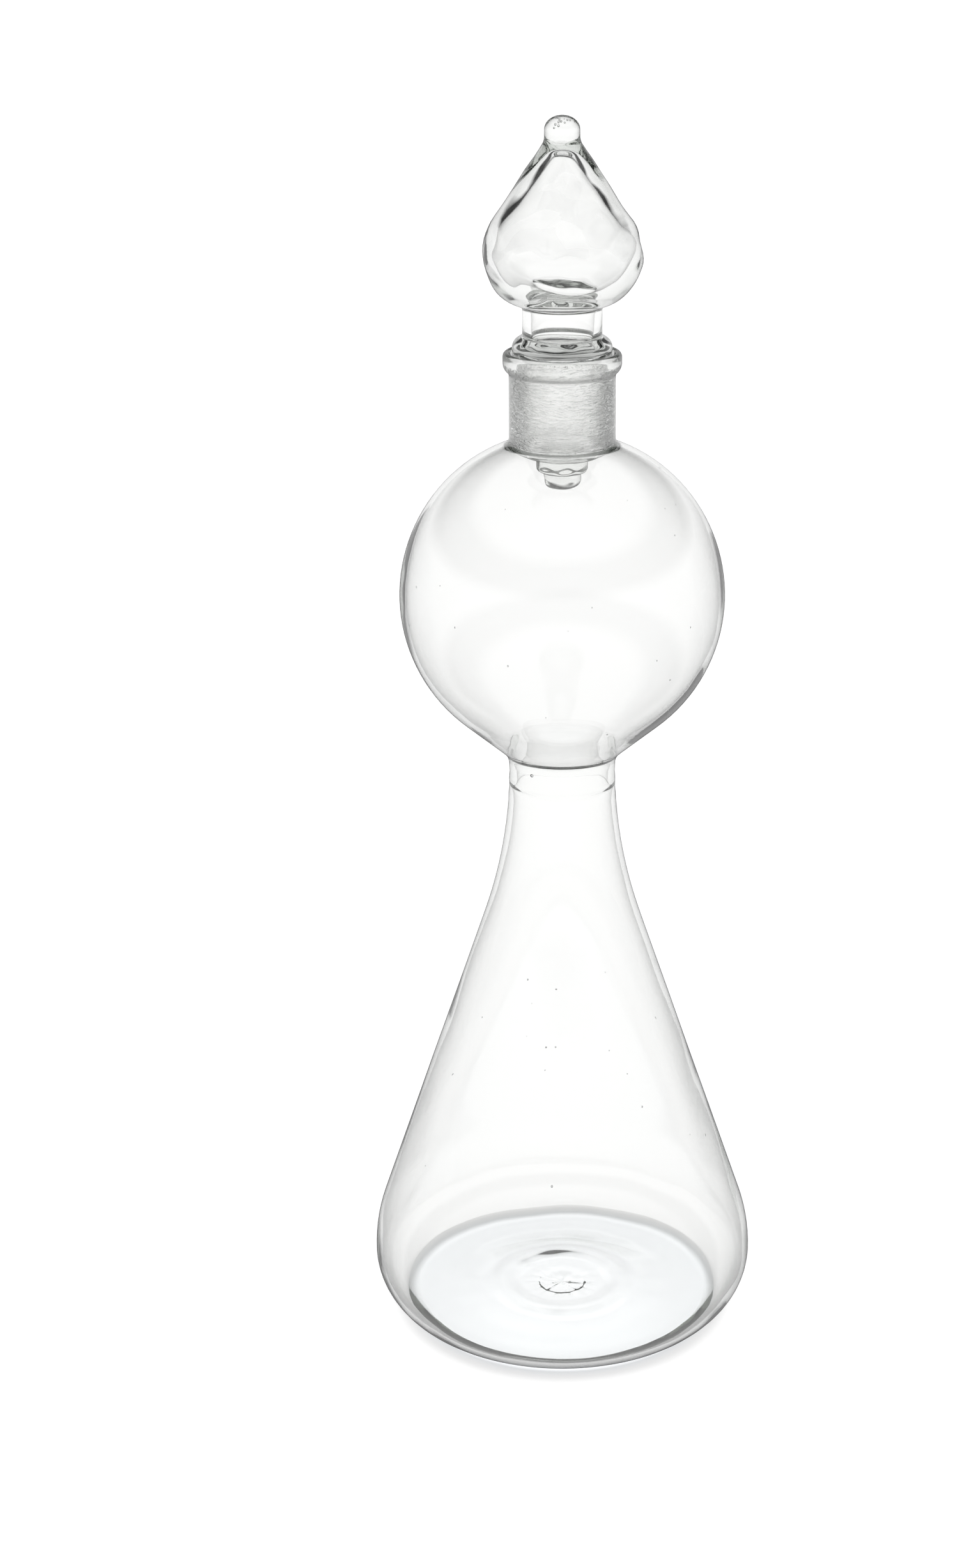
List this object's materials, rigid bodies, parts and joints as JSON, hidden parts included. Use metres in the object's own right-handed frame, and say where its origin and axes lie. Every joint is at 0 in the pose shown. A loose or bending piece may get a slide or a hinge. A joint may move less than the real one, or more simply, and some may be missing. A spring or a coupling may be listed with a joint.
{
  "type": "wasp trap",
  "caption": "Clear glass wasp trap: a conical flask under a globe, with a ground neck closed by a hollow teardrop stopper.",
  "frame": {"origin": "centre of the foot ring, on the surface that the trap stands on", "axes": "+Z is the common axis of the flask, globe and stopper, pointing up; X and Y are free because the object is round"},
  "size_m": [0.1096, 0.1096, 0.34],
  "materials": {
    "clear_glass": "clear, hand-blown, slightly wavy",
    "ground_glass": "translucent, ground with fine turning marks"
  },
  "bodies": {
    "vessel": {"flask": "clear_glass", "waist_collar": "clear_glass", "globe": "clear_glass", "neck_socket": "ground_glass"},
    "stopper": {"stopper_plug": "ground_glass", "stopper_nib": "clear_glass", "stopper_neck": "clear_glass", "stopper_teardrop": "clear_glass", "stopper_finial": "clear_glass"}
  },
  "joints": [
    {"name": "stopper_lift", "type": "slide", "parent": "vessel", "child": "stopper", "axis": [0, 0, 1], "range_m": [0, 0.06]}
  ]
}
